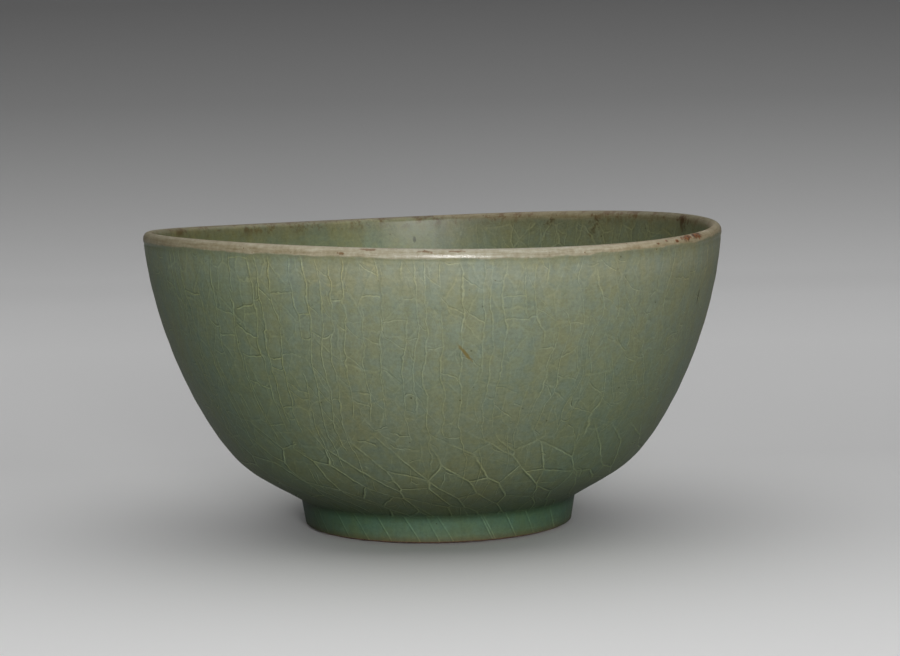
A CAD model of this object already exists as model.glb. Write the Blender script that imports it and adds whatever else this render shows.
import math

import bpy
import numpy as np
from mathutils import Matrix, Vector


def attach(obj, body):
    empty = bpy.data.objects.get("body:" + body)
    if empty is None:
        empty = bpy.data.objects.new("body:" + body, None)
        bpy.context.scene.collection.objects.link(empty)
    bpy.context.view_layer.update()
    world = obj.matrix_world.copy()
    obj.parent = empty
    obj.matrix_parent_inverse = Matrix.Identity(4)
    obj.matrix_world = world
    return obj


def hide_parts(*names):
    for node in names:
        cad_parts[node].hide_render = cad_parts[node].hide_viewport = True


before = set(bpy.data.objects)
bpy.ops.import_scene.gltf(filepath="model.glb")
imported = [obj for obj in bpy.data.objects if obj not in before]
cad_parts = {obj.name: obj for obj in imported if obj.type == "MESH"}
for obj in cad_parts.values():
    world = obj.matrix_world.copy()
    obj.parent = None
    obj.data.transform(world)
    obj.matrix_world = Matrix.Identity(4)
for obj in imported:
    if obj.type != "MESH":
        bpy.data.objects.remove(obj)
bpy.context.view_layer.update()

# A celadon bowl in its frame: metres, +Z up, the foot's centre over the origin, -Y towards the camera.
# What lies on the glaze is measured in millimetres.

PER_METRE = 1000

# The bowl over its glaze, as in its solids. Slopes are in degrees above level.
MOUTH_RADIUS = 0.090
HEIGHT = 0.0928
LIP_HEIGHT = 0.002
LIP_THICKNESS = 0.0036
MOUTH_SLOPE = 85.7
BELLY_RADIUS = 0.068
BELLY_HEIGHT = 0.0281
BELLY_SLOPE = 55
BELLY_THICKNESS = 0.0048
FLOOR_THICKNESS = 0.0062

FOOT_TOP_RADIUS = 0.0433
FOOT_RADIUS = 0.042
FOOT_HEIGHT = 0.0089
FOOT_ROOF_SLOPE = 32
FOOT_FACE_WIDTH = 0.0046
FOOT_CHAMFER = 0.0009
RECESS_DEPTH = 0.0068
RECESS_DRAFT = 0.0014
CORNER_REACH = 0.001
RECESS_CORNER_REACH = 0.0022

SCAR_COUNT = 3
SCAR_THICKNESS = 0.0004

LIP_GLAZE = 0.00015
WALL_GLAZE = 0.00045
BELLY_GLAZE = 0.0006
CORNER_GLAZE = 0.0009
GLAZE_EDGE = 0.0002
WELL_GLAZE = 0.0008
RECESS_GLAZE = 0.0004
BARE_FOOT = 0.0006

# How far the kiln warped the mouth, at the lip
SHIFT = -0.00032
SADDLE = 0.00072
TWIST = 0.00118

# Places on the glaze, in millimetres down its surface from the lip's crest, negative inside the bowl
SATIN_FROM = 3.0
LOW_DOWN_FROM = 48.0
FOOT_FROM_LIP = 102.0
RECESS_FROM_LIP = 112.0

# The glaze's relief, in millimetres: a roll at the lip's edge with a groove under it, and throwing
# rings of two spacings, which fade in between the first two places and out between the last two
ROLL_AT = 3.5
ROLL_WIDTH = 0.45
ROLL_HEIGHT = 0.09
GROOVE_AT = ROLL_AT + 2.2 * ROLL_WIDTH
RING_GAPS = (7.5, 12.75)
RING_HEIGHT = 0.022
RINGS_FADE = (8, 18, 86, 98)

SEGMENTS = 360
ON_AXIS = 1e-7
SHARP_EDGE = math.radians(50)


# Curves in the bowl's section. Each gives its points (radius, height) and its headings there, for
# numbers t that run from 0 at its start to 1 at its end.

def point(radius, height):
    return np.array([radius, height], float)


def along(degrees, length):
    """A step of some length along a slope. Slopes over 90 degrees run back towards the axis."""
    angle = math.radians(degrees)
    return point(math.cos(angle) * length, math.sin(angle) * length)


def bezier(*control):
    def at(t):
        t = t[:, None]
        rows = [np.broadcast_to(c, (len(t), 2)) for c in control]
        while len(rows) > 2:
            rows = [a * (1 - t) + b * t for a, b in zip(rows, rows[1:])]
        heading = rows[1] - rows[0]
        return rows[0] * (1 - t) + rows[1] * t, heading
    return at


def sweep(start, start_slope, end, end_slope, reach):
    """A smooth stretch between two points with a slope at each. reach says how far each slope holds,
    as a share of the distance between the points."""
    chord = np.linalg.norm(end - start)
    return bezier(
        start,
        start + along(start_slope, chord * reach[0]),
        end - along(end_slope, chord * reach[1]),
        end,
    )


def quarter_round(centre, across, up, first, last):
    def at(t):
        angle = first + (last - first) * t
        turn = math.copysign(1, last - first)
        points = centre + np.stack([np.cos(angle) * across, np.sin(angle) * up], 1)
        return points, turn * np.stack([-np.sin(angle) * across, np.cos(angle) * up], 1)
    return at


def right_of(heading):
    """Unit steps to the right of each heading."""
    heading = heading / np.linalg.norm(heading, axis=1)[:, None]
    return np.stack([heading[:, 1], -heading[:, 0]], 1)


def section(stretches):
    """Glaze surface and clay under it along a run of stretches. The clay is on the right. A stretch is
    a curve, its number of steps, and the glaze's thickness at its start and its end."""
    surface, clay = [], []
    for place, (curve, steps, first_glaze, last_glaze) in enumerate(stretches):
        t = np.arange(steps + (place == len(stretches) - 1)) / steps
        points, heading = curve(t)
        eased = t * t * (3 - 2 * t)
        thickness = (first_glaze + (last_glaze - first_glaze) * eased)[:, None]
        surface.append(points)
        clay.append(points + thickness * right_of(heading))
    return np.concatenate(surface), np.concatenate(clay)


foot_face = SCAR_THICKNESS
recess_roof = foot_face + RECESS_DEPTH
belly = point(BELLY_RADIUS, BELLY_HEIGHT)
inner_belly = belly + along(BELLY_SLOPE + 90, BELLY_THICKNESS)
well_floor = point(0, recess_roof + FLOOR_THICKNESS)
lip_shoulder = point(MOUTH_RADIUS, HEIGHT - LIP_HEIGHT)
lip_inside = point(MOUTH_RADIUS - LIP_THICKNESS, lip_shoulder[1])
lip_centre = point(MOUTH_RADIUS - LIP_THICKNESS / 2, lip_shoulder[1])
foot_corner = point(FOOT_TOP_RADIUS, FOOT_HEIGHT)
glaze_edge = point(FOOT_RADIUS, foot_face + BARE_FOOT)
corner_top = foot_corner + along(FOOT_ROOF_SLOPE, CORNER_REACH)
foot_wall = foot_corner - glaze_edge
foot_wall_slope = math.degrees(math.atan2(foot_wall[1], foot_wall[0]))
corner_foot = foot_corner - along(foot_wall_slope, CORNER_REACH)

up_the_well = sweep(well_floor, 0, inner_belly, BELLY_SLOPE, (0.6, 0.28))
up_the_inside = sweep(inner_belly, BELLY_SLOPE, lip_inside, MOUTH_SLOPE, (0.28, 0.35))
onto_the_lip = quarter_round(lip_centre, LIP_THICKNESS / 2, LIP_HEIGHT, math.pi, math.pi / 2)
over_the_lip = quarter_round(lip_centre, LIP_THICKNESS / 2, LIP_HEIGHT, math.pi / 2, 0)
down_the_wall = sweep(lip_shoulder, MOUTH_SLOPE + 180, belly, BELLY_SLOPE + 180, (0.35, 0.28))
under_the_belly = sweep(belly, BELLY_SLOPE + 180, corner_top, FOOT_ROOF_SLOPE + 180, (0.42, 0.45))
round_the_corner = bezier(corner_top, foot_corner, corner_foot)
down_the_foot = bezier(corner_foot, glaze_edge)

coat_surface, coat_clay = section([
    (up_the_well, 36, WELL_GLAZE, BELLY_GLAZE),
    (up_the_inside, 36, BELLY_GLAZE, WALL_GLAZE),
    (onto_the_lip, 12, WALL_GLAZE, LIP_GLAZE),
    (over_the_lip, 12, LIP_GLAZE, WALL_GLAZE),
    (down_the_wall, 240, WALL_GLAZE, BELLY_GLAZE),
    (under_the_belly, 24, BELLY_GLAZE, CORNER_GLAZE),
    (round_the_corner, 10, CORNER_GLAZE, CORNER_GLAZE),
    (down_the_foot, 10, CORNER_GLAZE, GLAZE_EDGE),
])

bare_edge = coat_clay[-1]
face_outside = bare_edge[0] - FOOT_CHAMFER
face_inside = face_outside - FOOT_FACE_WIDTH
recess_edge = point(face_inside - FOOT_CHAMFER / 2, foot_face + FOOT_CHAMFER)
recess_corner = point(recess_edge[0] - RECESS_DRAFT, recess_roof)
roof_edge = point(recess_corner[0] - RECESS_CORNER_REACH, recess_roof)
up_the_recess = bezier(recess_edge, recess_corner, roof_edge)
across_its_roof = bezier(roof_edge, point(0, recess_roof))

recess_surface, recess_clay = section([
    (up_the_recess, 16, GLAZE_EDGE, RECESS_GLAZE),
    (across_its_roof, 6, RECESS_GLAZE, RECESS_GLAZE),
])


# Turned meshes

def warp(places):
    """The mouth's warp grows from nothing at the foot to its full size at the lip."""
    x, y, z = (places / [MOUTH_RADIUS, MOUTH_RADIUS, 1]).T
    share = np.maximum(0, (z - FOOT_HEIGHT) / (HEIGHT - FOOT_HEIGHT)) ** 2
    lift = SADDLE * (x * x - y * y) + TWIST * 2 * x * y
    return places + np.stack([share * SHIFT, 0 * z, share * lift], 1)


def turned(name, profile, from_lip):
    """A revolved mesh. from_lip gives each station's distance from the lip's crest, in millimetres."""
    angles = 2 * math.pi * np.arange(SEGMENTS) / SEGMENTS
    places, distances, rows = [], [], []
    count = 0
    for (radius, height), distance in zip(profile, from_lip):
        size = 1 if radius < ON_AXIS else SEGMENTS
        turn = angles[:size]
        ring = [np.cos(turn) * radius, np.sin(turn) * radius, np.full(size, height)]
        places.append(np.stack(ring, 1))
        distances.append(np.full(size, distance))
        rows.append(count + np.arange(SEGMENTS) % size)
        count += size
    faces = []
    for here, there in zip(rows, rows[1:]):
        corners = np.stack([here, np.roll(here, -1), np.roll(there, -1), there], 1)
        # On the axis several corners are one
        faces += [list(dict.fromkeys(face)) for face in corners.tolist()]
    mesh = bpy.data.meshes.new(name)
    mesh.from_pydata(warp(np.concatenate(places)).tolist(), [], [f for f in faces if len(f) > 2])
    layer = mesh.attributes.new("from_lip", "FLOAT", "POINT")
    layer.data.foreach_set("value", np.concatenate(distances).astype(np.float32))
    mesh.polygons.foreach_set("use_smooth", np.ones(len(mesh.polygons), bool))
    mesh.set_sharp_from_angle(angle=SHARP_EDGE)
    piece = bpy.data.objects.new(name, mesh)
    bpy.context.scene.collection.objects.link(piece)
    return piece


def distance_from(profile, crest):
    """Length along a profile from its station number crest, in millimetres, negative before it."""
    steps = np.linalg.norm(np.diff(profile, axis=0), axis=1)
    length = np.concatenate([[0], np.cumsum(steps)])
    return (length - length[crest]) * PER_METRE


def relief(from_lip):
    """How far the glaze stands out along its way down from the lip, in millimetres: a roll of glaze
    at the lip's beige edge with a groove under it, and the rings that throwing left in the wall."""
    roll = ROLL_HEIGHT * np.exp(-(((from_lip - ROLL_AT) / ROLL_WIDTH) ** 2))
    groove = -ROLL_HEIGHT * np.exp(-(((from_lip - GROOVE_AT) / ROLL_WIDTH) ** 2))
    rings = RING_HEIGHT * sum(np.sin(from_lip * 2 * math.pi / gap) for gap in RING_GAPS)
    return roll + groove + rings * np.interp(from_lip, RINGS_FADE, (0, 1, 1, 0))


def swollen(profile, offset):
    """A profile moved outwards, to the left of its heading, by millimetres given for each station."""
    return profile - (offset / PER_METRE)[:, None] * right_of(np.gradient(profile, axis=0))


crest = int(np.argmax(coat_surface[:, 1]))
coat_distance = distance_from(coat_surface, crest)
coat_surface = swollen(coat_surface, relief(coat_distance))
coat = turned(
    "celadon_glaze",
    np.concatenate([coat_surface, coat_clay[::-1]]),
    np.concatenate([coat_distance, coat_distance[::-1]]),
)
bare_ring = np.array([[face_outside, foot_face], [face_inside, foot_face]])
clay_profile = np.concatenate([coat_clay, bare_ring, recess_clay])
body = turned("clay_body", clay_profile, distance_from(clay_profile, crest))
recess_profile = np.concatenate([recess_surface, recess_clay[::-1], recess_surface[:1]])
base = turned("recess_glaze", recess_profile, RECESS_FROM_LIP + distance_from(recess_profile, 0))

for piece, node, slot in (
    (coat, "glaze_coat", "celadon_glaze"),
    (body, "stoneware_body", "stoneware"),
    (base, "base_glaze", "celadon_glaze"),
):
    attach(piece, "root")
    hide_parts(node)


# Materials. Patterns are measured in millimetres on the object itself.

class Number:
    """A number that varies over a surface. Arithmetic on it adds Math nodes."""

    def __init__(self, nodes, socket):
        self.nodes = nodes
        self.socket = socket

    def __add__(self, other):
        return self.nodes.maths("ADD", self, other)

    def __sub__(self, other):
        return self.nodes.maths("SUBTRACT", self, other)

    def __rsub__(self, other):
        return self.nodes.maths("SUBTRACT", other, self)

    def __mul__(self, other):
        return self.nodes.maths("MULTIPLY", self, other)

    def __truediv__(self, other):
        return self.nodes.maths("DIVIDE", self, other)

    def __rtruediv__(self, other):
        return self.nodes.maths("DIVIDE", other, self)

    def __neg__(self):
        return 0.0 - self

    def __abs__(self):
        return self.nodes.maths("ABSOLUTE", self)

    __radd__ = __add__
    __rmul__ = __mul__


class Nodes:
    """A material and the nodes that make its patterns."""

    def __init__(self, name):
        self.material = bpy.data.materials.new(name)
        self.material.use_nodes = True
        self.tree = self.material.node_tree
        self.shader = self.tree.nodes["Principled BSDF"]
        place = self.add("VectorMath", operation="SCALE")
        place.inputs["Scale"].default_value = PER_METRE
        self.feed(place.inputs[0], self.add("TexCoord").outputs["Object"])
        self.place = place.outputs["Vector"]
        self.x, self.y, self.z = self.parts(self.place)

    def add(self, kind, **settings):
        node = self.tree.nodes.new("ShaderNode" + kind)
        for key, value in settings.items():
            setattr(node, key, value)
        return node

    def feed(self, socket, value):
        """Links a value that varies to a socket, or sets a constant on it."""
        if isinstance(value, Number):
            value = value.socket
        if isinstance(value, bpy.types.NodeSocket):
            self.tree.links.new(value, socket)
        else:
            socket.default_value = value

    def paint(self, socket, value):
        self.feed(self.shader.inputs[socket], value)

    def bump(self, height, distance, strength):
        """Gives the surface a fine relief. A height of 1 stands for a distance in millimetres."""
        node = self.add("Bump")
        self.feed(node.inputs["Strength"], strength)
        self.feed(node.inputs["Distance"], distance / PER_METRE)
        self.feed(node.inputs["Height"], height)
        self.paint("Normal", node.outputs[0])

    def maths(self, operation, *values):
        node = self.add("Math", operation=operation)
        for socket, value in zip(node.inputs, values):
            self.feed(socket, value)
        return Number(self, node.outputs[0])

    def smallest(self, a, b):
        return self.maths("MINIMUM", a, b)

    def largest(self, a, b):
        return self.maths("MAXIMUM", a, b)

    def hypotenuse(self, a, b):
        return self.maths("SQRT", a * a + b * b)

    def parts(self, vector):
        node = self.add("SeparateXYZ")
        self.feed(node.inputs[0], vector)
        return [Number(self, socket) for socket in node.outputs]

    def vector(self, *values):
        node = self.add("CombineXYZ")
        for socket, value in zip(node.inputs, values):
            self.feed(socket, value)
        return node.outputs[0]

    def squashed(self, *shares):
        """The place times a share on each axis. A pattern there is drawn out along the small ones."""
        node = self.add("VectorMath", operation="MULTIPLY")
        self.feed(node.inputs[0], self.place)
        self.feed(node.inputs[1], shares)
        return node.outputs["Vector"]

    def measure(self, operation, *vectors):
        node = self.add("VectorMath", operation=operation)
        for socket, vector in zip(node.inputs, vectors):
            self.feed(socket, vector)
        return Number(self, node.outputs["Value"])

    def step(self, value, start, end, low=0.0, high=1.0):
        """low up to start, high from end on, and a smooth rise between."""
        node = self.add("MapRange", interpolation_type="SMOOTHSTEP")
        inputs = {"Value": value, "From Min": start, "From Max": end, "To Min": low, "To Max": high}
        for name, number in inputs.items():
            self.feed(node.inputs[name], number)
        return Number(self, node.outputs[0])

    def fade(self, value, start, end):
        """1 up to start and 0 from end on."""
        return self.step(value, start, end, 1.0, 0.0)

    def choose(self, share, low, high):
        """low where share is 0, high where it is 1."""
        node = self.add("Mix", data_type="FLOAT", clamp_factor=True)
        self.feed(node.inputs[0], share)
        self.feed(node.inputs[2], low)
        self.feed(node.inputs[3], high)
        return Number(self, node.outputs[0])

    def blend(self, share, under, over, how="MIX"):
        """Colours mixed by share."""
        node = self.add("Mix", data_type="RGBA", blend_type=how, clamp_factor=True)
        self.feed(node.inputs[0], share)
        for socket, value in ((node.inputs[6], under), (node.inputs[7], over)):
            self.feed(socket, (*value, 1) if isinstance(value, tuple) else value)
        return node.outputs[2]

    def tinted(self, colour, share, tint):
        """A colour times a tint, as far as share says."""
        return self.blend(share, colour, tint, "MULTIPLY")

    def tinted_in_turn(self, colour, tints):
        for share, tint in tints:
            colour = self.tinted(colour, share, tint)
        return colour

    def shaded(self, colour, level):
        """A colour times a number."""
        return self.tinted(colour, 1.0, self.vector(level, level, level))

    def ramp(self, value, stops):
        """A colour from a list of (value, colour)."""
        node = self.add("ValToRGB")
        first, last = stops[0][0], stops[-1][0]
        self.feed(node.inputs[0], (value - first) / (last - first))
        elements = node.color_ramp.elements
        while len(elements) < len(stops):
            elements.new(0.5)
        for element, (place, colour) in zip(elements, stops):
            element.position = (place - first) / (last - first)
            element.color = (*colour, 1)
        return node.outputs[0]

    def noise(self, size, detail=2.0, roughness=0.5, seed=0.0, place=None):
        """Cloudy noise about 0.5, whose patches are about size across."""
        node = self.add("TexNoise", noise_dimensions="4D")
        self.feed(node.inputs["Vector"], place or self.place)
        self.feed(node.inputs["W"], seed)
        self.feed(node.inputs["Scale"], 1 / size)
        self.feed(node.inputs["Detail"], detail)
        self.feed(node.inputs["Roughness"], roughness)
        return node

    def cloud(self, *args, **settings):
        return Number(self, self.noise(*args, **settings).outputs[0])

    def three_clouds(self, *args, **settings):
        return self.parts(self.noise(*args, **settings).outputs["Color"])

    def cells(self, per_millimetre, place=None, feature="F1"):
        """Cells round scattered points. Distances in them are shares of a cell's size."""
        node = self.add("TexVoronoi", voronoi_dimensions="3D", feature=feature)
        self.feed(node.inputs["Vector"], place or self.place)
        self.feed(node.inputs["Scale"], per_millimetre)
        return node

    def chance(self, first, second, seed):
        """Three random numbers from 0 to 1 for each pair of whole numbers."""
        node = self.add("TexWhiteNoise", noise_dimensions="3D")
        self.feed(node.inputs["Vector"], self.vector(first, second, seed))
        return self.parts(node.outputs["Color"])


# The mouth's radius in millimetres, which turns angles round the bowl into lengths
RIM_RADIUS = MOUTH_RADIUS * PER_METRE

# The cracks' width, and shares of it: how much of a crack is at full strength, how far off its dark
# edge lies, and how much of the edge is at full strength
CRACK_WIDTH = 0.27
CRACK_CORE = 0.35
EDGE_OFFSET = 1.35
EDGE_CORE = 0.2

# Ladders of cracks on the upper wall: rails down it, with rungs between them. A rail fades in and
# out over its reach. Only a share of the rungs is there. Rails and rungs wander over a share of their
# own places, and rungs slant and sag, as shares of the gap between two of them.
RAILS = 122
RAIL_GAP = RIM_RADIUS * 2 * math.pi / RAILS
RAIL_REACH = 24.0
RAIL_WANDER = 0.92
RAIL_NOISE_GAP = 7.31
RUNG_GAP = 9.0
RUNG_SHARE = 0.58
RUNG_WANDER = 0.8
RUNG_SLANT = 0.25
RUNG_SLANT_SPREAD = 0.9
RUNG_SAG_SPREAD = 0.7

# Nets of many-sided patches. Those of the first two are laid out on a cylinder. They turn round the
# wall by lean radians with each millimetre down it, and squash multiplies heights, so that a small
# one draws the patches out down the wall.
LOW_NET = {"size": 9.0, "lean": 0.009, "squash": 0.62, "width": CRACK_WIDTH * 1.35}
FOOT_NET = {"size": 13.0, "lean": 0.013, "squash": 0.06, "width": CRACK_WIDTH * 1.1}
CYLINDER_RADIUS = 62.0
FINE_SIZE = 7.0
FINE_SQUASH = 0.55

# Keeps a square root that others are divided by above nothing
NEVER_ZERO = 0.0001


class Cracks:
    """The net of cracks as it grows: pale lines, and the dark edge on the left of each or above it."""

    def __init__(self, nodes):
        self.nodes = nodes
        self.lines = 0.0
        self.edges = 0.0

    def draw(self, offset, presence, width=CRACK_WIDTH):
        """Adds a crack, from the distance to its middle in millimetres."""
        nodes = self.nodes
        from_edge = abs(offset + width * EDGE_OFFSET)
        line = nodes.fade(abs(offset), width * CRACK_CORE, width) * presence
        edge = nodes.fade(from_edge, width * EDGE_CORE, width) * presence
        self.lines = nodes.largest(self.lines, line)
        self.edges = nodes.largest(self.edges, edge)


def ladder(nodes, net, across, down, scarcity, rung_share):
    """Adds cracks like a crooked ladder to the net. Gives a number for each patch between them, and how
    far a point is from the rail on its left."""
    cell = nodes.maths("FLOOR", across / RAIL_GAP)
    at_rail = []
    for step in (-1, 0, 1):
        index = nodes.maths("FLOORED_MODULO", cell + step, RAILS)
        jitter = nodes.chance(index, 1.0, seed=0.0)[0]
        rail = (cell + step + (1 - RAIL_WANDER) / 2 + RAIL_WANDER * jitter) * RAIL_GAP
        at_rail.append((rail, index))
        # A line of the noise for each rail, far enough from the next rail's
        noise_line = nodes.vector(index * RAIL_NOISE_GAP, down / RAIL_REACH, 0.0)
        presence = nodes.cloud(1.0, detail=1.0, seed=1.0, place=noise_line)
        net.draw(across - rail, nodes.step(presence - scarcity, 0.0, 0.1))

    (left_rail, left_index), (this_rail, this_index), (right_rail, _) = at_rail
    beyond = nodes.maths("GREATER_THAN", across, this_rail)
    left = nodes.choose(beyond, left_rail, this_rail)
    right = nodes.choose(beyond, this_rail, right_rail)
    strip = nodes.choose(beyond, left_index, this_index)
    share = (across - left) / (right - left)
    rise = down / RUNG_GAP + nodes.chance(strip, 1.0, seed=5.0)[0] * 9.0
    row = nodes.maths("FLOOR", rise)
    patch = row
    for step in (-1, 0, 1):
        tilt, bow, jitter = nodes.chance(strip, row + step, seed=12.0)
        keep = nodes.chance(strip, row + step, seed=24.0)[0]
        middle = row + step + (1 - RUNG_WANDER) / 2 + RUNG_WANDER * jitter
        slant = RUNG_SLANT + (tilt - 0.5) * RUNG_SLANT_SPREAD
        sag = (bow - 0.4) * RUNG_SAG_SPREAD
        rung = middle + slant * (share - 0.5) + sag * share * (1.0 - share)
        net.draw((rise - rung) * RUNG_GAP, nodes.maths("LESS_THAN", keep, rung_share))
        patch = patch + nodes.maths("GREATER_THAN", rise, rung)
    tint = nodes.chance(strip, patch, seed=32.0)[0]
    return tint, across - left


def polygons(nodes, net, presence, size, place, normal, width=CRACK_WIDTH, closeness=None):
    """Adds cracks round many-sided patches about size across to the net. Gives a number for each patch.
    closeness is for a pattern that is laid out anew: from a crack's direction, it gives how many of the
    pattern's millimetres a step of one millimetre across the crack takes."""
    near, beside = [nodes.cells(1 / size, place, feature) for feature in ("F1", "F2")]
    distance = Number(nodes, near.outputs["Distance"])
    gap = (Number(nodes, beside.outputs["Distance"]) - distance) * distance * size * size
    apart = nodes.add("VectorMath", operation="SUBTRACT")
    nodes.feed(apart.inputs[0], beside.outputs["Position"])
    nodes.feed(apart.inputs[1], near.outputs["Position"])
    apart = apart.outputs[0]
    reach = nodes.measure("LENGTH", apart)
    x, y, _ = nodes.parts(place)
    to_x, to_y, up = nodes.parts(apart)
    up = up / reach
    right = (x * to_y - y * to_x) / nodes.hypotenuse(x, y) / reach
    # Which side of the crack the point is on, so that the dark edge lies on its left or above it
    side = 1.0 - nodes.maths("GREATER_THAN", right - up * 0.6, 0.0) * 2.0
    # Where two patches lie one behind the other, no crack reaches the surface
    depth = nodes.measure("DOT_PRODUCT", apart, normal) / reach
    along_surface = nodes.maths("SQRT", 1.0 - nodes.smallest(depth * depth, 0.98))
    if closeness:
        along_surface = closeness(along_surface, right, up)
    presence = presence * nodes.step(along_surface, 0.3, 0.5)
    net.draw(gap / reach * side / along_surface, presence, width)
    return nodes.parts(near.outputs["Color"])[0]


def leaning_polygons(nodes, net, presence, wobble, size, lean, squash, width):
    """The same on the wall, laid out on a cylinder and drawn out down lines that lean to the right as
    they fall. Elsewhere the patches keep their shape."""
    angle = nodes.around + wobble[0] / CYLINDER_RADIUS - nodes.from_lip * lean
    sine = nodes.maths("SINE", angle)
    cosine = nodes.maths("COSINE", angle)
    height = (wobble[1] - nodes.from_lip) * squash
    laid_out = nodes.vector(sine * CYLINDER_RADIUS, -cosine * CYLINDER_RADIUS, height)
    solid = nodes.vector(nodes.x + wobble[0], nodes.y + wobble[1], nodes.z + wobble[2])
    place = nodes.blend(nodes.on_wall, solid, laid_out)
    normal = nodes.blend(nodes.on_wall, nodes.normal, nodes.vector(sine, -cosine, 0.0))
    spread = CYLINDER_RADIUS / nodes.hypotenuse(nodes.x, nodes.y)

    def closeness(along_surface, right, up):
        round_wall = right * spread
        down_wall = right * lean * CYLINDER_RADIUS + up * squash
        squares = round_wall * round_wall + down_wall * down_wall + NEVER_ZERO
        return nodes.choose(nodes.on_wall, along_surface, nodes.maths("SQRT", squares))

    return polygons(nodes, net, presence, size, place, normal, width, closeness)


def cracked(nodes):
    """The net of cracks, a number for each patch, and how far a point is from the rail on its left."""
    net = Cracks(nodes)
    from_lip = nodes.from_lip
    bend = nodes.three_clouds(26.0, detail=1.0, seed=3.0)
    wobble = nodes.three_clouds(4.2, detail=3.0, seed=5.0)
    inside = 1.0 - nodes.outside
    low_down = nodes.step(from_lip, LOW_DOWN_FROM, 74.0) * nodes.outside
    foot = nodes.step(from_lip, FOOT_FROM_LIP - 1.0, FOOT_FROM_LIP)
    above_foot = 1.0 - foot
    right_side = nodes.step(nodes.around, 0.1, 0.6) * nodes.outside
    well = nodes.fade(from_lip, -70.0, -40.0)

    # Ladders, scarcer to the right, low down and inside, and none on the foot or in the well
    swing = 9.0 + 10.0 * low_down + 16.0 * right_side
    across = nodes.around * RIM_RADIUS + (bend[0] - 0.5) * swing + (wobble[0] - 0.5) * 3.0
    down = from_lip + (bend[1] - 0.5) * swing + (wobble[1] - 0.5) * 3.0
    scarcity = 0.34 + 0.12 * right_side + 0.18 * low_down + foot + 0.06 * inside + well
    rung_share = RUNG_SHARE - 0.42 * low_down - foot - well
    tint, from_left = ladder(nodes, net, across, down, scarcity, rung_share)

    # Patches: large ones low down and inside, long ones on the foot, and faint fine ones above it
    sway = 2.4 - 0.6 * low_down - 1.0 * foot
    wobble = [(shift - 0.5) * sway for shift in wobble]
    low_tint = leaning_polygons(nodes, net, low_down * above_foot + 0.8 * inside, wobble, **LOW_NET)
    leaning_polygons(nodes, net, foot * 0.6, wobble, **FOOT_NET)
    fine = nodes.vector(nodes.x + wobble[0], nodes.y + wobble[1], (nodes.z + wobble[2]) * FINE_SQUASH)
    polygons(nodes, net, (0.38 - 0.2 * low_down) * above_foot, FINE_SIZE, fine, nodes.normal)
    return net, nodes.choose(low_down + well, tint, low_tint), from_left + well * 4.0


# Celadon glaze. Its places are millimetres down from the lip's crest and radians round from the
# front, positive to the right.

# Thin and pale near the lip, deeper down the wall, dark where it pooled over the foot
WALL_COLOURS = (
    (3.2, (0.235, 0.235, 0.150)),
    (4.6, (0.225, 0.240, 0.158)),
    (6.5, (0.256, 0.275, 0.196)),
    (9.5, (0.254, 0.274, 0.195)),
    (13.0, (0.225, 0.248, 0.172)),
    (18.0, (0.205, 0.231, 0.158)),
    (29.0, (0.186, 0.211, 0.142)),
    (41.0, (0.164, 0.190, 0.124)),
    (55.0, (0.145, 0.168, 0.109)),
    (70.0, (0.126, 0.148, 0.092)),
    (82.0, (0.106, 0.127, 0.076)),
    (91.0, (0.080, 0.099, 0.059)),
    (99.5, (0.056, 0.076, 0.044)),
    (101.9, (0.036, 0.060, 0.032)),
    (102.6, (0.038, 0.070, 0.038)),
    (103.7, (0.066, 0.114, 0.070)),
    (105.0, (0.076, 0.129, 0.081)),
    (107.8, (0.092, 0.134, 0.082)),
    (109.6, (0.098, 0.092, 0.048)),
    (RECESS_FROM_LIP, (0.105, 0.098, 0.055)),
    (RECESS_FROM_LIP + 2.5, (0.100, 0.130, 0.080)),
    (RECESS_FROM_LIP + 25.0, (0.125, 0.155, 0.100)),
)

# Down the inside from the lip
INSIDE_COLOURS = (
    (1.0, (0.23, 0.22, 0.14)),
    (4.5, (0.20, 0.208, 0.126)),
    (12.0, (0.235, 0.262, 0.165)),
    (50.0, (0.22, 0.262, 0.17)),
    (95.0, (0.19, 0.25, 0.165)),
)

# The drained lip, by a mottle about 0.5
LIP_COLOURS = (
    (0.34, (0.25, 0.205, 0.118)),
    (0.5, (0.345, 0.30, 0.20)),
    (0.64, (0.45, 0.41, 0.30)),
)

# What multiplies the glaze's colour
PALE_CRACK = (1.72, 1.66, 1.56)
YELLOW_CRACK = (1.72, 1.68, 1.36)
LOW_CRACK = (1.9, 1.85, 1.8)
STAINED_CRACK = (1.5, 1.34, 0.95)
CRACK_EDGE = (0.66, 0.69, 0.66)
IRON_SPECK = (0.38, 0.3, 0.2)
LIP_DOT = (0.5, 0.36, 0.24)
DRIP = (0.6, 0.4, 0.27)
STAIN = (0.5, 0.34, 0.24)
NICK = (0.3, 0.32, 0.22)

# What covers it
DARK_RUST = (0.075, 0.028, 0.011)
BRIGHT_RUST = (0.25, 0.1, 0.026)
SCRATCH = (0.165, 0.12, 0.03)

# Marks: degrees round from the front, place from the lip, width and height
STAINS_AT = (
    (-16.6, 2.5, 2.8, 1.3),
    (-11.9, 1.3, 3.8, 0.8),
    (-1.4, 1.7, 4.4, 0.9),
    (3.9, 1.5, 5.6, 0.6),
    (152.6, -3.8, 4.4, 4.2),
    (148.7, -4.8, 2.6, 3.0),
    (140.5, -5.2, 4.4, 7.4),
    (-166.4, -3.6, 1.8, 1.2),
    (-156.0, -4.6, 1.0, 1.0),
    (109.0, -4.2, 16.0, 7.0),
)
RUST_AT = (
    (56.4, 1.2, 7.0, 2.9),
    (61.0, 1.2, 7.4, 2.9),
    (52.3, 1.9, 2.2, 1.2),
    (49.0, 1.3, 1.6, 1.0),
    (46.2, 2.0, 1.6, 1.0),
)
NICKS_AT = (
    (64.7, 20.4, 0.8, 5.0),
    (-175.6, -9.0, 1.3, 2.6),
)
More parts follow.
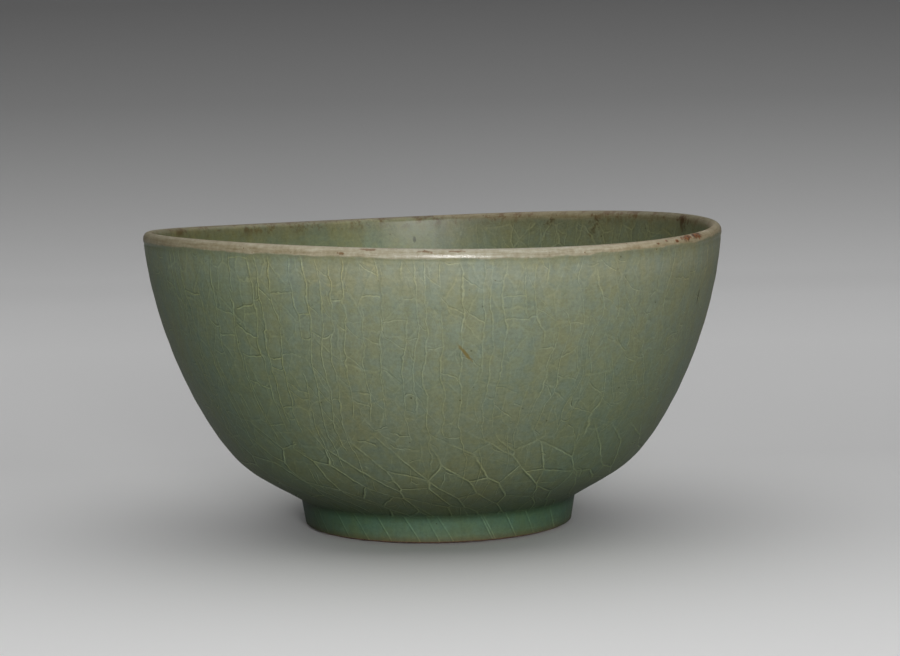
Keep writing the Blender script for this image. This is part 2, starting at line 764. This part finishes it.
SCRATCH_AT = (5.6, 31.6, 1.5, 6.2)


class Glaze(Nodes):
    """Celadon glaze, with what several of its layers go by."""

    def __init__(self, name):
        super().__init__(name)
        self.from_lip = Number(self, self.add("Attribute", attribute_name="from_lip").outputs["Fac"])
        self.normal = self.add("TexCoord").outputs["Normal"]
        self.outside = self.step(self.from_lip, -0.5, 0.5)
        above_recess = self.fade(self.from_lip, RECESS_FROM_LIP - 1.0, RECESS_FROM_LIP)
        self.on_wall = self.outside * above_recess
        # Nothing in the recess goes by its angle, which would draw wedges round the middle
        self.around = self.maths("ARCTAN2", self.x, -self.y) * above_recess
        self.grain = self.cloud(0.9, detail=3.0, roughness=0.75, seed=64.0)
        self.mottle = self.cloud(1.6, detail=4.0, roughness=0.7, seed=40.0)
        self.ragged = self.cloud(1.3, detail=2.0, seed=90.0) - 0.5

    def spot(self, degrees, from_lip, width, height, lean=0.0, ragged=1.6):
        """A soft-edged mark, from 0 to 1: where it is, its size in millimetres, and its lean."""
        across = (self.around - math.radians(degrees)) * RIM_RADIUS
        down = self.from_lip - from_lip
        across = (across - down * lean) / (width / 2)
        down = down / (height / 2)
        reach = self.hypotenuse(across, down) + self.ragged * ragged
        return self.fade(reach, 0.45, 1.15)


def by_depth(nodes):
    """The glaze's colour by how thick it is. Inside it also changes from left to right."""
    wall = nodes.ramp(nodes.from_lip, WALL_COLOURS)
    inside = nodes.ramp(-nodes.from_lip, INSIDE_COLOURS)
    level = nodes.step(nodes.x, 0.0, 55.0, 1.1, 0.84)
    level = level * nodes.step(abs(nodes.x + 22.0), 6.0, 28.0, 1.2, 1.0)
    inside = nodes.shaded(inside, level)
    inside = nodes.tinted(inside, nodes.fade(nodes.x, -75.0, -45.0), (1.0, 0.95, 0.85))
    return nodes.blend(nodes.outside, inside, wall)


def clouded(nodes, colour, patch):
    """Clouds in the glass: broad olive and green ones, then finer ones, and a tint for each patch."""
    around = nodes.around
    everywhere = 1.0
    left = nodes.fade(around, -0.8, -0.2)
    both_sides = nodes.step(abs(around), 0.3, 0.8)
    low_right = nodes.step(around, 0.2, 0.8) * nodes.step(nodes.from_lip, 15.0, 70.0)
    green = (nodes.step(around, -0.9, -0.2, 0.8, 0.0) + low_right) * nodes.outside
    run_down = nodes.squashed(1.0, 1.0, 0.4)
    olive = nodes.cloud(12.0, detail=4.0, roughness=0.6, seed=8.0, place=run_down)
    bluish = nodes.cloud(8.0, detail=4.0, roughness=0.6, seed=12.0, place=run_down)
    fleck = nodes.step(nodes.cloud(2.6, detail=3.0, seed=17.0), 0.4, 0.6)
    return nodes.tinted_in_turn(
        colour,
        (
            (green, (0.91, 1.0, 1.0)),
            (everywhere, (0.995, 1.0, 0.975)),
            (both_sides, (1.0, 1.0, 0.975)),
            (left, (0.975, 1.0, 0.97)),
            (nodes.step(olive, 0.42, 0.62), (1.03, 0.99, 0.92)),
            (nodes.step(bluish, 0.44, 0.62), (0.97, 1.0, 1.055)),
            (everywhere, nodes.blend(fleck, (0.98, 1.0, 1.05), (1.02, 0.995, 0.935))),
            (everywhere, nodes.blend(patch, (0.965, 0.985, 1.0), (1.035, 1.015, 0.985))),
        ),
    )


def toned(nodes, colour, from_left):
    """Lighter and darker streaks, rows and grains. The wall is darker towards its left and right, and
    just right of each rail."""
    around = nodes.around
    streaks = nodes.cloud(1.5, detail=2.0, seed=61.0, place=nodes.squashed(1.0, 1.0, 0.12))
    rows = nodes.cloud(0.6, detail=2.0, seed=62.0, place=nodes.squashed(0.12, 0.12, 1.0))
    sides = nodes.maths("COSINE", around * 2.0) * nodes.on_wall * 0.1
    level = 0.36 + streaks * 0.22 + rows * 0.18 + nodes.grain * 0.74 + sides
    ends = nodes.step(around, -1.0, -0.05, 0.84, 1.0) * nodes.step(around, 0.9, 1.4, 1.0, 0.9)
    foot_end = nodes.step(around, -1.2, -0.6, 0.7, 1.0)
    foot_end = nodes.choose(nodes.step(nodes.from_lip, 99.0, FOOT_FROM_LIP), 1.0, foot_end)
    level = level * nodes.choose(nodes.on_wall, 1.0, ends * foot_end)
    level = level * nodes.step(from_left, 0.0, 3.6, 0.95, 1.0)
    return nodes.shaded(colour, level)


def crack_strength(nodes, low_down):
    """How clear the cracks are: clearer on the left and low down, fainter in places, none on the lip."""
    from_lip = nodes.from_lip
    in_well = nodes.step(from_lip, -60.0, -30.0, 0.5, 0.0)
    inside = nodes.largest(nodes.step(nodes.x, 5.0, 35.0, 0.1, 0.62), in_well)
    strength = nodes.choose(nodes.outside, inside, nodes.step(nodes.around, -0.8, 0.0, 0.74, 0.46))
    strength = strength * nodes.step(nodes.cloud(7.0, detail=3.0, seed=21.0), 0.34, 0.62, 0.45, 1.05)
    strength = strength * nodes.step(abs(from_lip), 3.6, 6.0)
    return nodes.smallest(strength * (1.0 + low_down * 0.9), 1.0)


def with_cracks(nodes, colour, net, strength, low_down):
    """Cracks that are paler than the glaze, some of them stained, each with its dark edge."""
    left = nodes.fade(nodes.around, -0.8, -0.1)
    pale = nodes.blend(left * 0.6, PALE_CRACK, YELLOW_CRACK)
    pale = nodes.blend(low_down, pale, LOW_CRACK)
    stained = nodes.step(nodes.cloud(12.0, detail=1.0, seed=25.0), 0.47, 0.64)
    pale = nodes.blend(stained * (0.5 - 0.3 * low_down), pale, STAINED_CRACK)
    colour = nodes.tinted(colour, net.edges * strength, CRACK_EDGE)
    return nodes.tinted(colour, net.lines * strength, pale)


def with_specks(nodes, colour):
    """Iron specks of many sizes and depths in the glass."""
    cells = nodes.cells(0.28)
    size, depth, _ = nodes.parts(cells.outputs["Color"])
    specks = nodes.fade(Number(nodes, cells.outputs["Distance"]), 0.02, 0.12)
    specks = specks * nodes.step(size, 0.35, 1.0) * nodes.step(depth, 0.0, 0.5)
    return nodes.tinted(colour, specks, IRON_SPECK)


def with_drained_lip(nodes, colour):
    """The lip, where the glaze drained off the clay and left it beige, with brown dots."""
    from_lip, around = nodes.from_lip, nodes.around
    turned_rows = nodes.vector(nodes.x * 0.07, nodes.y * 0.07, from_lip)
    rows = nodes.cloud(0.55, detail=3.0, roughness=0.6, seed=43.0, place=turned_rows)
    beige = nodes.ramp(nodes.mottle * 0.5 + rows * 0.5, LIP_COLOURS)
    beige = nodes.tinted_in_turn(
        beige,
        (
            (nodes.fade(around, -0.9, -0.2), (0.82, 0.82, 0.78)),
            (nodes.step(around, 0.4, 0.8), (0.97, 0.93, 0.87)),
            (nodes.step(abs(around), 1.1, 1.9), (0.7, 0.7, 0.62)),
            (nodes.fade(around, -2.6, -2.1), (0.85, 0.83, 0.8)),
            (nodes.step(around, 1.3, 1.8) * nodes.fade(around, 2.2, 2.6), (0.8, 0.84, 0.86)),
            (nodes.fade(abs(around - 0.12), 0.15, 0.6), (1.06, 1.12, 1.22)),
        ),
    )
    wander = nodes.cloud(9.0, detail=2.0, seed=41.0) - 0.5
    border = 3.65 + wander * 2.2 - nodes.step(around, 0.2, 0.8) * 0.7 + nodes.ragged * 0.5
    inner_border = nodes.step(nodes.x, -20.0, 45.0, -1.3, -3.2) + wander * 2.4 + nodes.ragged
    lip = nodes.fade(from_lip - border, -0.25, 0.35) * nodes.outside
    lip = lip + nodes.step(from_lip - inner_border, -1.0, 0.7) * (1.0 - nodes.outside)
    colour = nodes.blend(lip, colour, beige)

    dots = nodes.cells(0.8)
    dot = nodes.fade(Number(nodes, dots.outputs["Distance"]), 0.08, 0.26)
    dot = dot * nodes.step(nodes.parts(dots.outputs["Color"])[0], 0.72, 0.95)
    return nodes.tinted(colour, dot * lip, LIP_DOT)


def with_marks(nodes, colour):
    """Brown stains along the lip's inside, and single marks."""
    from_lip = nodes.from_lip
    run_down = nodes.squashed(1.0, 1.0, 0.8)
    drips = nodes.cloud(4.5, detail=5.0, roughness=0.75, seed=47.0, place=run_down)
    under_lip = nodes.step(from_lip, -6.5, -2.0) * nodes.fade(from_lip, -1.0, 0.3)
    colour = nodes.tinted(colour, nodes.step(drips, 0.49, 0.6) * under_lip * 0.85, DRIP)
    broken = nodes.choose(nodes.outside, nodes.step(drips, 0.46, 0.56), 1.0)
    for mark in STAINS_AT:
        colour = nodes.tinted(colour, nodes.spot(*mark, ragged=3.4) * broken * 0.9, STAIN)
    rust = nodes.blend(nodes.step(nodes.mottle, 0.42, 0.6), DARK_RUST, BRIGHT_RUST)
    for mark in RUST_AT:
        colour = nodes.blend(nodes.spot(*mark, ragged=2.7), colour, rust)
    scratch = nodes.spot(*SCRATCH_AT, lean=0.8, ragged=1.2)
    colour = nodes.blend(scratch * 0.85, colour, SCRATCH)
    for mark in NICKS_AT:
        colour = nodes.tinted(colour, nodes.spot(*mark), NICK)
    return colour


def celadon(name, specular):
    """The glaze: its colour, layer by layer, then its shine and its relief."""
    nodes = Glaze(name)
    from_lip, outside = nodes.from_lip, nodes.outside
    low_down = nodes.step(from_lip, LOW_DOWN_FROM, 78.0) * outside
    net, patch, from_left = cracked(nodes)
    strength = crack_strength(nodes, low_down)
    colour = clouded(nodes, by_depth(nodes), patch)
    colour = toned(nodes, colour, from_left)
    colour = with_cracks(nodes, colour, net, strength, low_down)
    colour = with_specks(nodes, colour)
    colour = with_drained_lip(nodes, colour)
    nodes.paint("Base Color", with_marks(nodes, colour))

    front_of_lip = nodes.step(from_lip, 1.2, 2.6) * nodes.fade(from_lip, 3.4, 3.9)
    front_of_lip = front_of_lip * nodes.fade(abs(nodes.around), 0.5, 0.9)
    rough = nodes.choose(nodes.step(from_lip, 2.0, 9.0), 0.4, 0.58)
    nodes.paint("Roughness", rough - front_of_lip * 0.17 + (nodes.grain - 0.5) * 0.12)
    nodes.paint("Specular IOR Level", specular)

    cracks = (net.lines - net.edges * 0.5) * strength * nodes.choose(outside, 0.3, 1.4)
    grain = nodes.grain * nodes.choose(outside, 0.5, 1.0)
    peel = nodes.cloud(3.5, detail=1.0, seed=55.0) * 1.2
    nodes.bump(cracks + grain + peel, distance=0.15, strength=0.6)
    return nodes.material


def gritty(name, dark, light, grain_size, grit_height):
    """Unglazed fired clay: mottled, with coarse grains standing out. Its sizes are in millimetres."""
    nodes = Nodes(name)
    mottle = nodes.step(nodes.cloud(grain_size * 3.0, detail=4.0, roughness=0.7, seed=70.0), 0.36, 0.64)
    grains = nodes.cloud(grain_size, detail=3.0, roughness=0.7, seed=73.0)
    burnt = nodes.step(nodes.cloud(grain_size * 1.6, detail=2.0, seed=76.0), 0.6, 0.68)
    palest = tuple(min(part * 1.5, 0.8) for part in light)
    colour = nodes.blend(mottle, dark, light)
    colour = nodes.blend(nodes.step(grains, 0.54, 0.66) * 0.5, colour, palest)
    nodes.paint("Base Color", nodes.blend(burnt * 0.6, colour, (0.05, 0.028, 0.016)))
    nodes.paint("Roughness", nodes.step(grains, 0.3, 0.7, 0.92, 0.72))
    nodes.bump(grains + mottle * 0.5, grit_height, strength=0.8)
    return nodes.material


def glaze_in_two(piece, near_lip, on_wall):
    """Gives a piece one glaze inside and on the lip, and another one down the wall."""
    mesh = piece.data
    mesh.materials.append(near_lip)
    mesh.materials.append(on_wall)
    from_lip = np.empty(len(mesh.vertices))
    mesh.attributes["from_lip"].data.foreach_get("value", from_lip)
    corner = np.empty(len(mesh.loops), int)
    mesh.loops.foreach_get("vertex_index", corner)
    face_start = np.empty(len(mesh.polygons), int)
    mesh.polygons.foreach_get("loop_start", face_start)
    slot = (from_lip[corner[face_start]] > SATIN_FROM).astype(int)
    mesh.polygons.foreach_set("material_index", slot)


glossy_glaze = celadon("celadon_glossy", specular=0.5)
satin_glaze = celadon("celadon_satin", specular=0.2)
glaze_in_two(coat, glossy_glaze, satin_glaze)
base.data.materials.append(glossy_glaze)
body.data.materials.append(
    gritty("bare_clay", (0.075, 0.04, 0.024), (0.16, 0.09, 0.052), grain_size=0.5, grit_height=0.1)
)
fireclay = gritty("fireclay", (0.36, 0.29, 0.2), (0.62, 0.54, 0.42), grain_size=0.8, grit_height=0.3)
for number in range(1, SCAR_COUNT + 1):
    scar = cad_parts[f"kiln_pad_scar_{number}"]
    scar.data.materials.clear()
    scar.data.materials.append(fireclay)


# The studio

# The floor and the wall behind it, in metres
FLOOR_FRONT = -1.6
FLOOR_BACK = 0.9
CURVE_RADIUS = 0.7
CURVE_STEPS = 24
WALL_TOP = 2.2
HALF_WIDTH = 3.0

# The paper's grey by how far back and up it is from the bowl, in millimetres
PAPER_GREYS = (
    (-200, 0.89),
    (0, 0.745),
    (130, 0.655),
    (320, 0.7),
    (520, 0.73),
    (800, 0.7),
    (970, 0.65),
    (1070, 0.57),
    (1200, 0.455),
    (1330, 0.345),
    (1430, 0.26),
    (1620, 0.155),
)
BOUNCE_GREY = 0.25


def graded_paper():
    """Paper that is pale under the bowl and darker up the curve behind it. Bounced light meets grey."""
    nodes = Nodes("backdrop_paper")
    seen = nodes.ramp(nodes.y + nodes.z, [(place, (grey,) * 3) for place, grey in PAPER_GREYS])
    # Darker to the sides of what the camera sees, which widens with the distance, and in front of it
    width = nodes.largest(nodes.y + 900.0, 500.0)
    level = nodes.step(abs(nodes.x) / width, 0.19, 0.45, 1.0, 0.12)
    level = level * nodes.step(nodes.y, -420.0, -220.0, 0.15, 1.0)
    path = nodes.add("LightPath")
    direct = nodes.largest(path.outputs["Is Camera Ray"], path.outputs["Is Glossy Ray"])
    direct = nodes.largest(direct, path.outputs["Is Transmission Ray"])
    colour = nodes.blend(direct, (BOUNCE_GREY,) * 3, nodes.shaded(seen, level))
    nodes.paint("Base Color", colour)
    nodes.paint("Roughness", 0.95)
    return nodes.material


def sweep_backdrop():
    """A floor that curves up behind the bowl."""
    path = [(FLOOR_FRONT, 0.0), (FLOOR_BACK, 0.0)]
    for turn in np.linspace(0, math.pi / 2, CURVE_STEPS)[1:]:
        back, up = math.sin(turn) * CURVE_RADIUS, CURVE_RADIUS * (1 - math.cos(turn))
        path.append((FLOOR_BACK + back, up))
    path.append((FLOOR_BACK + CURVE_RADIUS, WALL_TOP))
    places = [(side * HALF_WIDTH, y, z) for y, z in path for side in (-1, 1)]
    faces = [(2 * k, 2 * k + 1, 2 * k + 3, 2 * k + 2) for k in range(len(path) - 1)]
    mesh = bpy.data.meshes.new("backdrop")
    mesh.from_pydata(places, [], faces)
    mesh.polygons.foreach_set("use_smooth", np.ones(len(mesh.polygons), bool))
    backdrop = bpy.data.objects.new("backdrop", mesh)
    bpy.context.scene.collection.objects.link(backdrop)
    mesh.materials.append(graded_paper())


def softbox(name, place, target, width, height, power):
    light = bpy.data.lights.new(name, "AREA")
    light.shape = "RECTANGLE"
    light.size = width
    light.size_y = height
    light.energy = power
    lamp = bpy.data.objects.new(name, light)
    lamp.location = place
    aim = Vector(target) - Vector(place)
    lamp.rotation_euler = aim.to_track_quat("-Z", "Y").to_euler()
    lamp.visible_camera = False
    bpy.context.scene.collection.objects.link(lamp)
    return lamp


sweep_backdrop()
softbox("key_light", (0.12, -1.18, 0.12), (0, 0, 0.05), width=0.35, height=0.3, power=9)
softbox("high_key_light", (0.12, -1.18, 0.36), (0, 0, 0.08), width=0.3, height=0.2, power=2.4)
softbox("top_light", (0.1, 0.5, 1.5), (0.1, 0.5, 0.0), width=4.0, height=3.0, power=36)

# Low behind the bowl and only for it, so that its back isn't dark
back_light = softbox("back_light", (0.0, 0.85, 0.3), (0, 0, 0.05), width=0.6, height=0.3, power=3.0)
back_light.visible_glossy = False
lit_from_behind = bpy.data.collections.new("lit_from_behind")
for piece in (coat, body, base):
    lit_from_behind.objects.link(piece)
back_light.light_linking.receiver_collection = lit_from_behind

world = bpy.data.worlds.new("studio")
world.use_nodes = True
world.node_tree.nodes["Background"].inputs["Color"].default_value = (0.0, 0.0, 0.0, 1)
bpy.context.scene.world = world

# The camera, at the photograph's place, angle and field of view: metres, radians, and millimetres
# for its lens and its sensor
CAMERA_DISTANCE = 0.7521
CAMERA_HEIGHT = 0.1361
CAMERA_PITCH = 0.0993
CAMERA_YAW = 0.0062
CAMERA_ROLL = -0.0179
CAMERA_LENS = 96.06
SENSOR_WIDTH = 36

camera_data = bpy.data.cameras.new("camera")
camera_data.sensor_fit = "HORIZONTAL"
camera_data.sensor_width = SENSOR_WIDTH
camera_data.lens = CAMERA_LENS
camera = bpy.data.objects.new("camera", camera_data)
camera.matrix_world = (
    Matrix.Translation((0, -CAMERA_DISTANCE, CAMERA_HEIGHT))
    @ Matrix.Rotation(-CAMERA_YAW, 4, "Z")
    @ Matrix.Rotation(math.pi / 2 - CAMERA_PITCH, 4, "X")
    @ Matrix.Rotation(CAMERA_ROLL, 4, "Z")
)
bpy.context.scene.collection.objects.link(camera)
bpy.context.scene.camera = camera
bpy.context.scene.view_settings.view_transform = "Standard"
